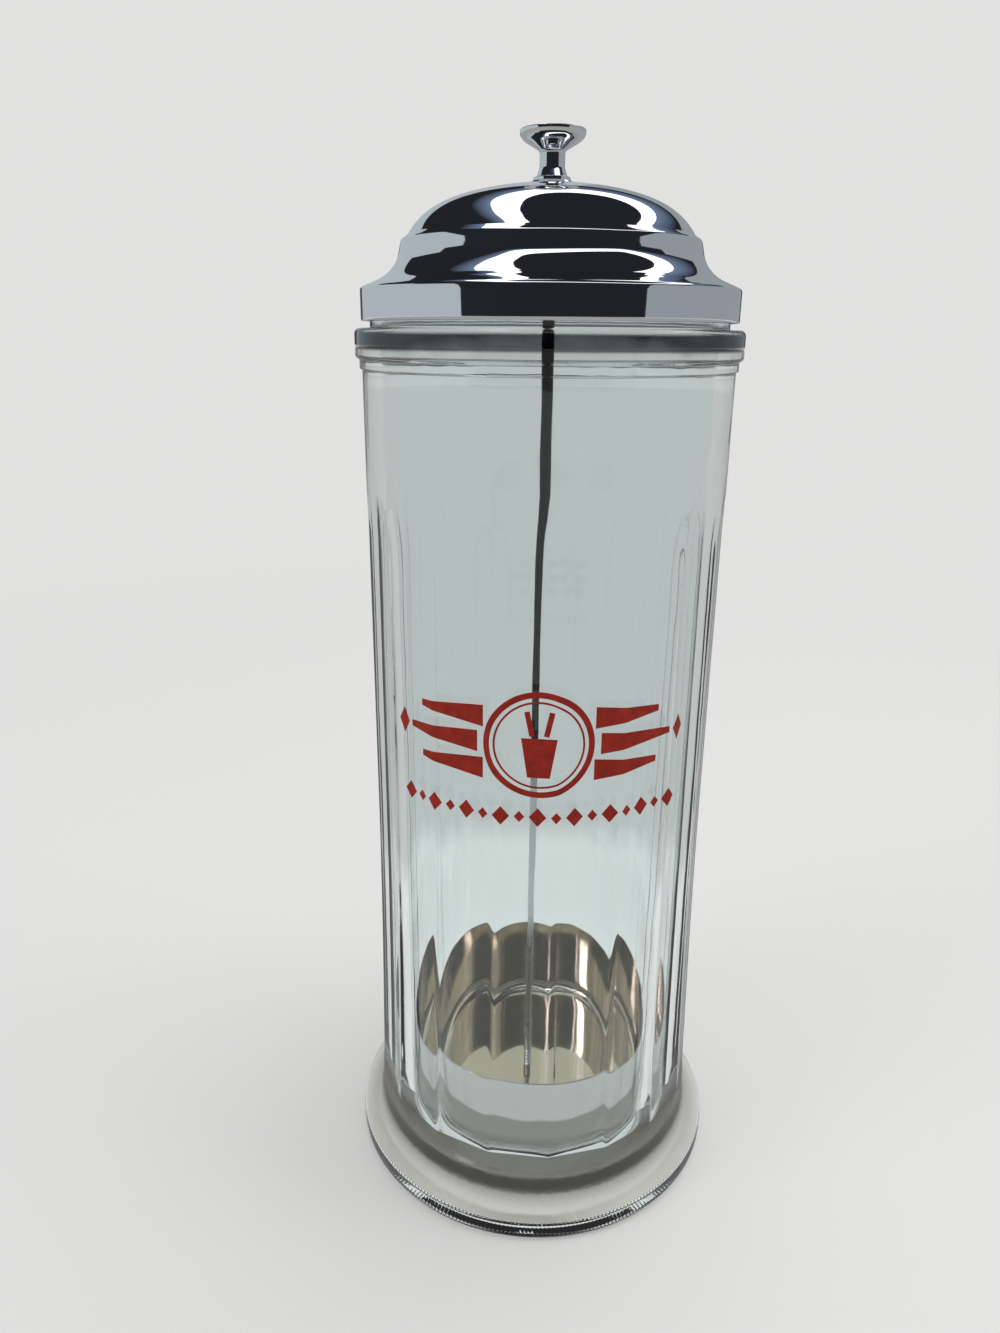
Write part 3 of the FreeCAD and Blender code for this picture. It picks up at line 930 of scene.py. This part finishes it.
knob_outline += rounded([
    (*rim_low, 0),
    (knob_radius, rim_top, 0.3 * mm),
    (knob_radius - 0.6 * mm, rim_top, 0),
    (knob_radius * 0.5, knob_top - 0.15 * mm, 20 * mm),
    (0, knob_top, 0),
], longest=0.5 * mm)[1:]
knob = turned("knob", knob_outline, knob_steps)
bpy.ops.object.shade_smooth_by_angle(angle=math.radians(24))
knob.data.materials.append(chrome)
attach(knob, "lid")
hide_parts("lid_knob")


# ---- Lift rod ----------------------------------------------------------------------------
# Thin steel rod, light near the cup and painted near black above, a painted dark reflection of the
# room round it. The thread is rolled on both ends, so it stands proud of the shank; the nuts and
# washers on it are zinc plated.

rod_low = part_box("lift_rod")[0].z
rod_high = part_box("lift_rod")[1].z
rod_radius = 1.5 * mm
thread_crest = 1.85 * mm
thread_root = 1.4 * mm
thread_pitch = 1.25 * mm
lower_thread_end = 20.4 * mm
upper_thread_end = 257.6 * mm
root_ends, crest_starts, crest_ends = 0.25, 0.55, 0.7
chamfer = 0.35 * mm
rod_steps = 40
light_rod_to = 108 * mm
painted_dark_from = 124 * mm
lower_rod_colour = (0.62, 0.65, 0.66)
painted_dark_reflection = (0.012, 0.012, 0.014)


def thread_rings(start, end):
    """Crests and roots of a thread as an outline, one ring to each turn."""
    outline = []
    turns = int((end - start) / thread_pitch)
    for k in range(turns):
        low = start + k * thread_pitch
        outline.append((thread_root, low + root_ends * thread_pitch, 0))
        outline.append((thread_crest, low + crest_starts * thread_pitch, 0))
        outline.append((thread_crest, low + crest_ends * thread_pitch, 0))
        outline.append((thread_root, low + thread_pitch, 0))
    return outline


rod = turned("rod", rounded([
    (0, rod_low, 0),
    (thread_root, rod_low, 0),
    *thread_rings(rod_low + chamfer, lower_thread_end),
    (rod_radius, lower_thread_end + 0.2 * mm, 0),
    (rod_radius, upper_thread_end, 0),
    *thread_rings(upper_thread_end, rod_high - chamfer),
    (thread_root, rod_high, 0),
    (0, rod_high, 0),
], longest=4 * mm), rod_steps)
bpy.ops.object.shade_smooth_by_angle(angle=math.radians(30))
rod_steel = mirror_metal("rod_steel", (0.42, 0.42, 0.43), 0.16)
tree = rod_steel.node_tree
# Painted reflection: the rod's colour turns near black above.
painted_dark_share = ranged(tree, height_in(tree), light_rod_to, painted_dark_from)
rod_colour = mixed(tree, painted_dark_share, lower_rod_colour, painted_dark_reflection)
tree.links.new(rod_colour, tree.nodes["Principled BSDF"].inputs["Base Color"])
rod.data.materials.append(rod_steel)
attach(rod, "lid")
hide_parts("lift_rod")

zinc = mirror_metal("zinc_plate", (0.50, 0.51, 0.52), 0.22)
for name in ("lid_washer", "lid_lock_nut", "cup_washer", "cup_lock_nut"):
    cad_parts[name].data.materials.clear()
    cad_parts[name].data.materials.append(zinc)


# ---- Straw cup ---------------------------------------------------------------------------
# Thin stainless sheet drawn into a shallow cup, polished outside. Faint dark and bright streaks are
# painted up the inside of its wall, painted reflection beside the cards' real reflections.

cup_low, cup_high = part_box("straw_cup")
cup_wall = 0.5 * mm
cup_radius = cup_high.x
cup_corner = 4.0 * mm
cup_lip = 0.2 * mm
rod_hole = 1.9 * mm
cup_steps = 256
cup = turned("steel_cup", rounded([
    (rod_hole, cup_low.z, 0),
    (cup_radius, cup_low.z, cup_corner),
    (cup_radius, cup_high.z, cup_lip),
    (cup_radius - cup_wall, cup_high.z, cup_lip),
    (cup_radius - cup_wall, cup_low.z + cup_wall, cup_corner - cup_wall),
    (rod_hole, cup_low.z + cup_wall, 0),
    (rod_hole, cup_low.z, 0),
], longest=4 * mm), cup_steps)
bpy.ops.object.shade_smooth_by_angle(angle=math.radians(40))
cup.data.materials.append(mirror_metal("cup_steel", (0.62, 0.615, 0.60), 0.07))
# Painted reflection: lighter and darker streaks of colour round the inside of the wall.
painted_streak_steel = mirror_metal("painted_streak_steel", (0.5, 0.47, 0.42), 0.06)
dark_painted_streak = (0.62, 0.60, 0.56)
bright_painted_streak = (0.78, 0.75, 0.70)
tree = painted_streak_steel.node_tree
flat = tree.nodes.new("ShaderNodeVectorMath")
flat.operation = "MULTIPLY"
flat.inputs[1].default_value = (1.0, 1.0, 0.0)
tree.links.new(tree.nodes["Texture Coordinate"].outputs["Object"], flat.inputs[0])
around = tree.nodes.new("ShaderNodeVectorMath")
around.operation = "NORMALIZE"
tree.links.new(flat.outputs["Vector"], around.inputs[0])
streaks = tree.nodes.new("ShaderNodeTexNoise")
streaks.inputs["Scale"].default_value = 6.0
streaks.inputs["Detail"].default_value = 2.0
streaks.inputs["Roughness"].default_value = 0.5
tree.links.new(around.outputs["Vector"], streaks.inputs["Vector"])
painted_streak_colour = ramped(tree, streaks.outputs["Fac"], 0.42, dark_painted_streak, 0.58, bright_painted_streak)
tree.links.new(painted_streak_colour, tree.nodes["Principled BSDF"].inputs["Base Color"])
cup.data.materials.append(painted_streak_steel)
cup.data.materials.append(mirror_metal("cup_floor_steel", (0.62, 0.57, 0.49), 0.03))
# Painted shade: the underside of the cup is coloured near black.
cup.data.materials.append(mirror_metal("cup_underside_painted_shade", (0.08, 0.08, 0.075), 0.5))
wall_start = cup_low.z + cup_corner
level_enough = 0.3
for polygon in cup.data.polygons:
    middle = polygon.center
    facing_in = polygon.normal.x * middle.x + polygon.normal.y * middle.y < 0
    if facing_in and middle.z > wall_start:
        polygon.material_index = 1
    elif polygon.normal.z > level_enough and middle.z < wall_start:
        polygon.material_index = 2
    elif polygon.normal.z < -level_enough:
        polygon.material_index = 3
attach(cup, "lid")
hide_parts("straw_cup")
